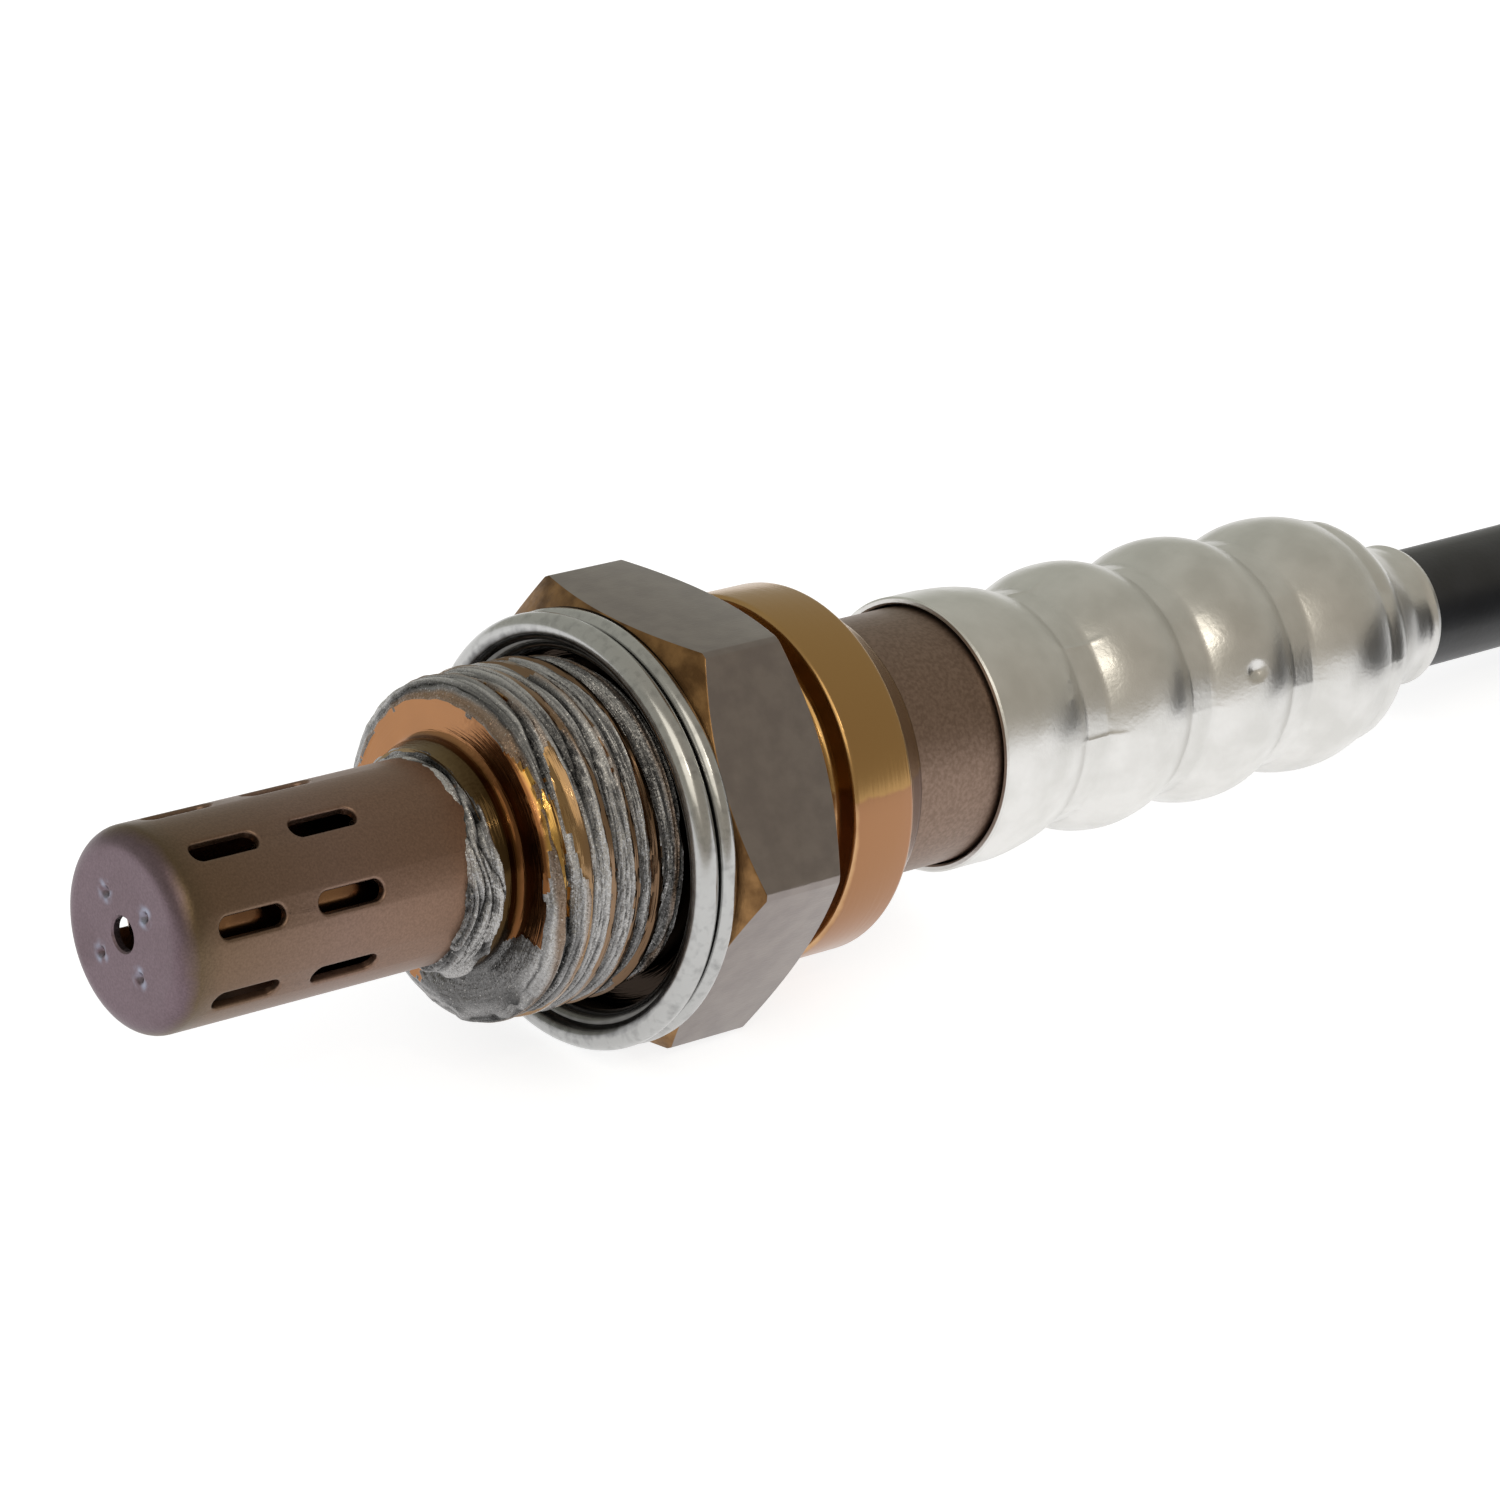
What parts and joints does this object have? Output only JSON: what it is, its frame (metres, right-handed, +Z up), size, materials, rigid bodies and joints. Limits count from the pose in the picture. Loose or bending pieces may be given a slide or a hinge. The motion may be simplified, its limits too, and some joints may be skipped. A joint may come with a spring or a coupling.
{
  "type": "oxygen sensor",
  "caption": "Heated exhaust oxygen sensor: slotted protection tube, M18 threaded hexagon body with crush gasket, crimped sheath, and a sleeved lead folded, tied and ending in a plug.",
  "frame": {"origin": "centre of the hexagon's sealing face, on the sensor's axis", "axes": "+Z up from the bench that the sensor lies on; +X from the protection tube to the lead, level, with the sensor's axis dipping 5.2 degrees from it towards the lead; +Y to the left seen from the nose along +X"},
  "size_m": [0.2594, 0.0565, 0.0229],
  "materials": {
    "tube_steel": "satin stainless, browned by heat",
    "inner_tube_steel": "satin stainless, bronzed by heat",
    "zirconia": "sintered, with a grey electrode",
    "alumina": "fired, unglazed",
    "housing_steel": "turned stainless, tinted bronze by heat",
    "zinc_steel": "zinc plated",
    "spring_steel": "plain",
    "talc": "pressed powder",
    "shell_steel": "drawn stainless, dark brown from heat",
    "sheath_steel": "drawn and crimped, matt",
    "terminal_metal": "stamped nickel strip",
    "wire_black": "silicone insulation",
    "wire_grey": "silicone insulation",
    "wire_white": "silicone insulation",
    "grommet_rubber": "moulded",
    "sleeve_black": "extruded, satin",
    "tie_nylon": "moulded nylon",
    "plug_plastic": "moulded, glass filled",
    "seal_rubber": "moulded silicone",
    "lock_plastic": "moulded",
    "pin_metal": "tinned brass"
  },
  "bodies": {
    "root": {"outer_protection_tube": "tube_steel", "inner_protection_tube": "inner_tube_steel", "sensing_element": "zirconia", "heater_rod": "alumina", "housing": "housing_steel", "sealing_gasket": "zinc_steel", "element_washer": "spring_steel", "talc_packing": "talc", "ceramic_bush": "alumina", "compression_ring": "spring_steel", "inner_shell": "shell_steel", "outer_sheath": "sheath_steel", "terminal_holder": "alumina", "signal_terminal": "terminal_metal", "ground_terminal": "terminal_metal", "heater_terminal_a": "terminal_metal", "heater_terminal_b": "terminal_metal", "signal_wire": "wire_black", "ground_wire": "wire_grey", "heater_wire_a": "wire_white", "heater_wire_b": "wire_white", "grommet": "grommet_rubber", "lead_sleeve": "sleeve_black", "lead_tie": "tie_nylon", "plug_housing": "plug_plastic", "plug_seal": "seal_rubber", "plug_lock": "lock_plastic", "plug_pin_1": "pin_metal", "plug_pin_2": "pin_metal", "plug_pin_3": "pin_metal", "plug_pin_4": "pin_metal"}
  },
  "joints": []
}
